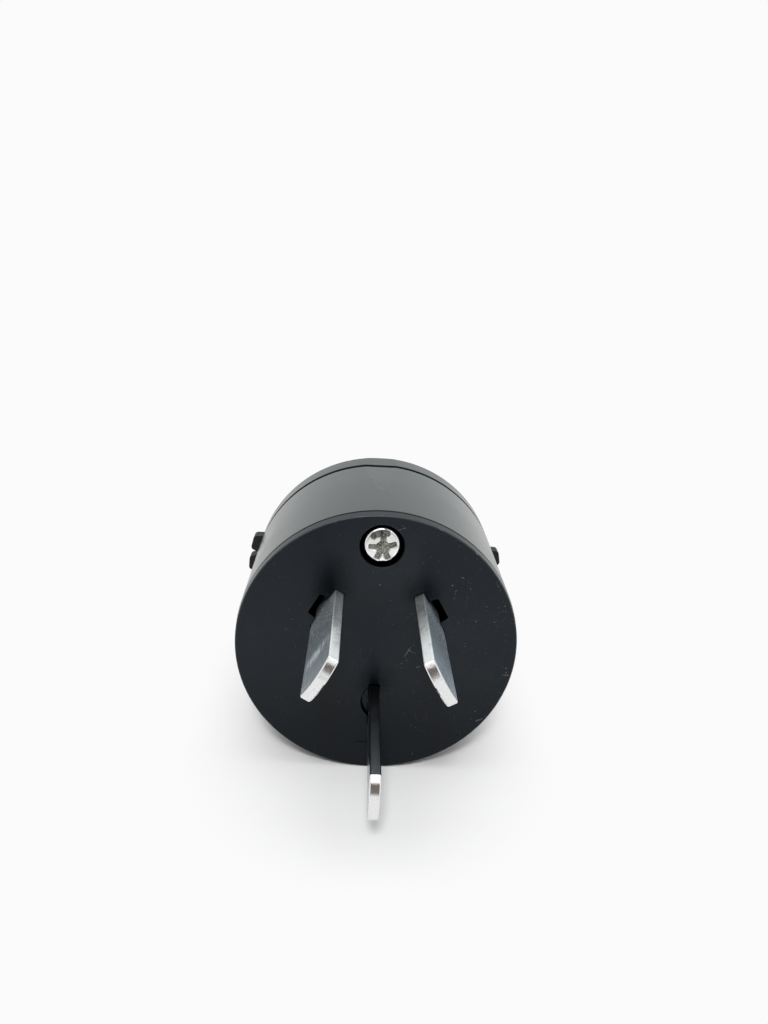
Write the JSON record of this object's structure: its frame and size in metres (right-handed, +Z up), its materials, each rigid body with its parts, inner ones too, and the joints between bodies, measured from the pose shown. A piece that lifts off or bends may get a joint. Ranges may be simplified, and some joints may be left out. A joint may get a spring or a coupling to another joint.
{
  "type": "rewirable mains plug",
  "caption": "Round black mains plug with flat angled blades, a pin plate held by a recessed screw, grip lugs at the sides and a cord inlet at the back.",
  "frame": {"origin": "centre of the pin layout on the pin face", "axes": "+Y back through the body, away from the pins; +Z up, with the earth blade at the bottom; +X to the right as the pins are looked at"},
  "size_m": [0.042, 0.048, 0.0387],
  "materials": {
    "black_moulding": "satin",
    "inner_moulding": "matt, natural",
    "plated_blade": "bright nickel plate",
    "terminal_brass": "bright machined",
    "plated_screw": "nickel plate"
  },
  "bodies": {
    "root": {"pin_plate": "black_moulding", "body_shell": "black_moulding", "rear_cap": "black_moulding", "active_blade": "plated_blade", "neutral_blade": "plated_blade", "earth_blade": "plated_blade", "blade_retainer": "inner_moulding", "active_terminal": "terminal_brass", "neutral_terminal": "terminal_brass", "earth_terminal": "terminal_brass", "active_terminal_screw": "terminal_brass", "neutral_terminal_screw": "terminal_brass", "earth_terminal_screw": "terminal_brass", "assembly_screw": "plated_screw", "retainer_screw_left": "plated_screw", "retainer_screw_right": "plated_screw", "cord_clamp_bar": "inner_moulding", "cord_clamp_screw_left": "plated_screw", "cord_clamp_screw_right": "plated_screw"}
  },
  "joints": []
}
